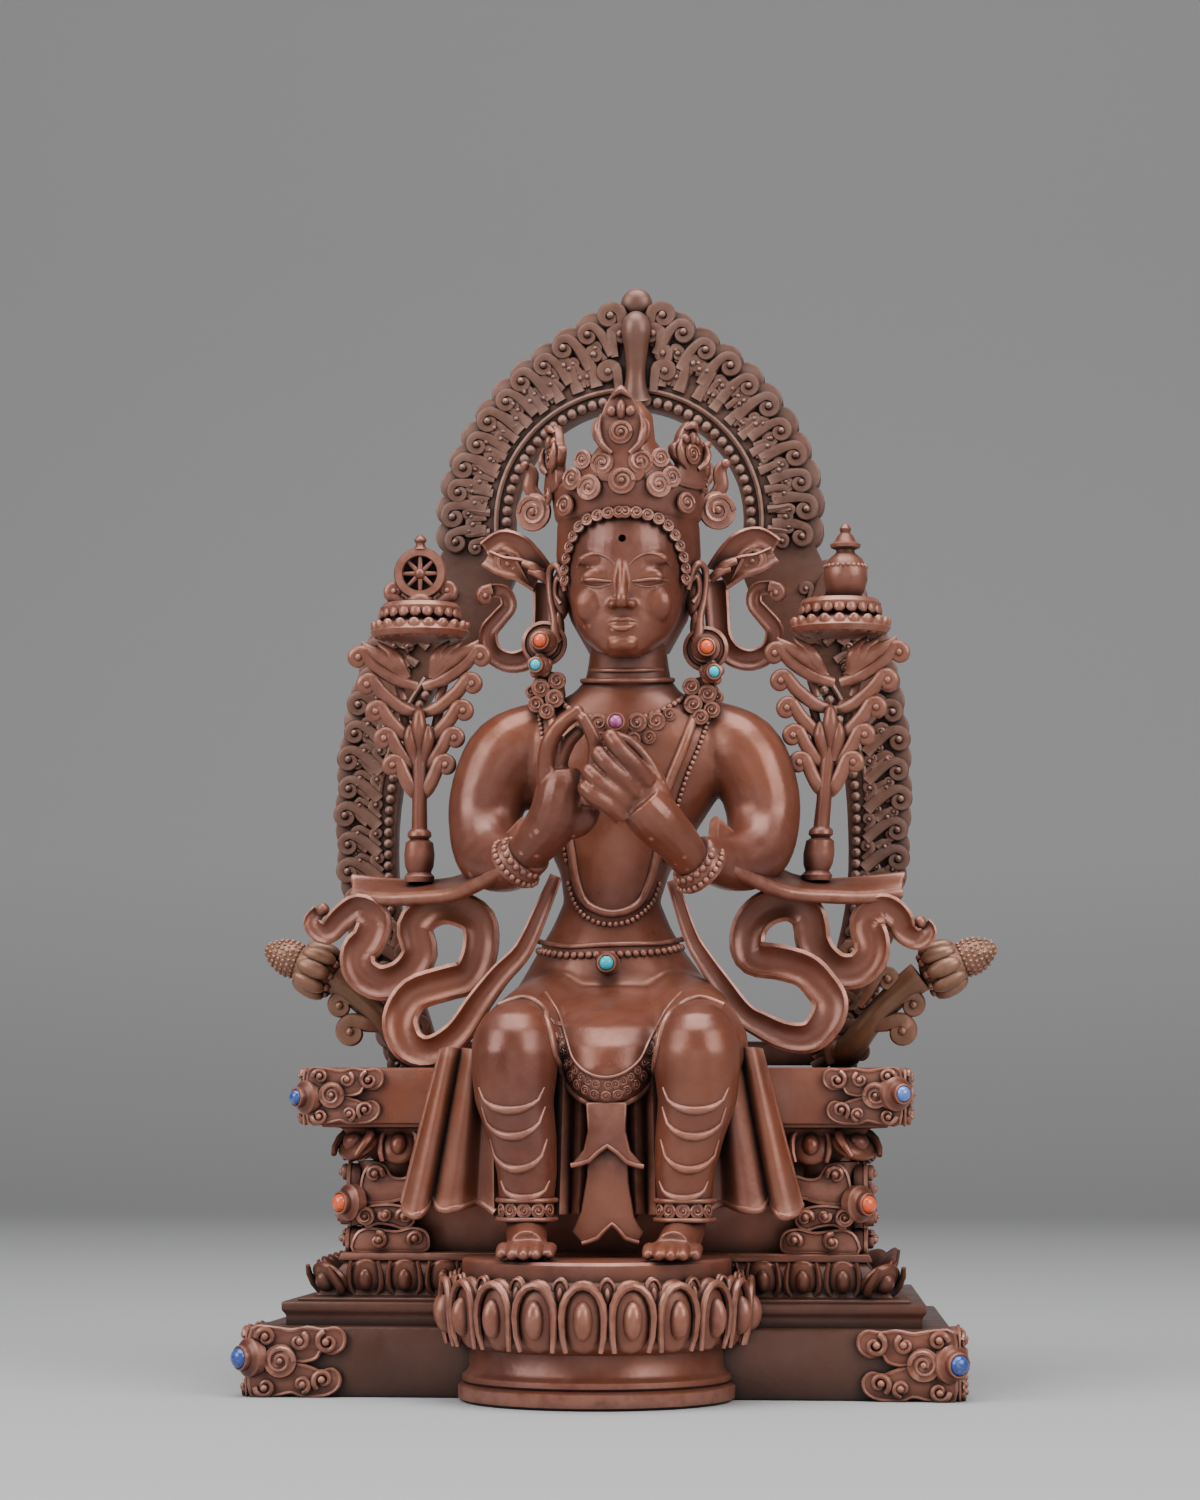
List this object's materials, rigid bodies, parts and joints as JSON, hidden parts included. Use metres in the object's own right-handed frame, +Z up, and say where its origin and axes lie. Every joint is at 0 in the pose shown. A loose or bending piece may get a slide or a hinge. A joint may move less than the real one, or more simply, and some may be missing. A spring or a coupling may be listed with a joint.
{
  "type": "maitreya buddha figure",
  "caption": "Seated Maitreya buddha with legs down and teaching hands, on a tiered throne with a round footrest, a pierced aureole and flowers at the shoulders; oxidised copper.",
  "frame": {"origin": "centre of the base block's underside", "axes": "+Z up, -Y the way the figure faces, +X to the viewer's right"},
  "size_m": [0.1354, 0.0948, 0.21],
  "materials": {
    "oxidised_copper": "hand-rubbed reddish brown patina, dark in the recesses, bright pinkish copper on worn edges",
    "dark_oxidised_copper": "duller, darker brown patina with grey grime in the recesses and worn pinkish edges",
    "lapis": "polished dark blue stone",
    "blue_crystal": "clear blue polished stone",
    "coral": "polished orange-red stone",
    "turquoise": "polished greenish blue stone",
    "pink_stone": "polished dull pink stone"
  },
  "bodies": {
    "root": {"throne": "oxidised_copper", "figure": "oxidised_copper", "aureole": "dark_oxidised_copper", "wheel_lotus": "oxidised_copper", "vase_lotus": "oxidised_copper", "stone_base_left": "lapis", "stone_base_right": "lapis", "stone_seat_left": "lapis", "stone_seat_right": "blue_crystal", "stone_waist_left": "coral", "stone_waist_right": "coral", "stone_earring_coral_left": "coral", "stone_earring_coral_right": "coral", "stone_earring_turquoise_left": "turquoise", "stone_earring_turquoise_right": "turquoise", "stone_wrist": "coral", "stone_belt": "turquoise", "stone_necklace": "pink_stone"}
  },
  "joints": []
}
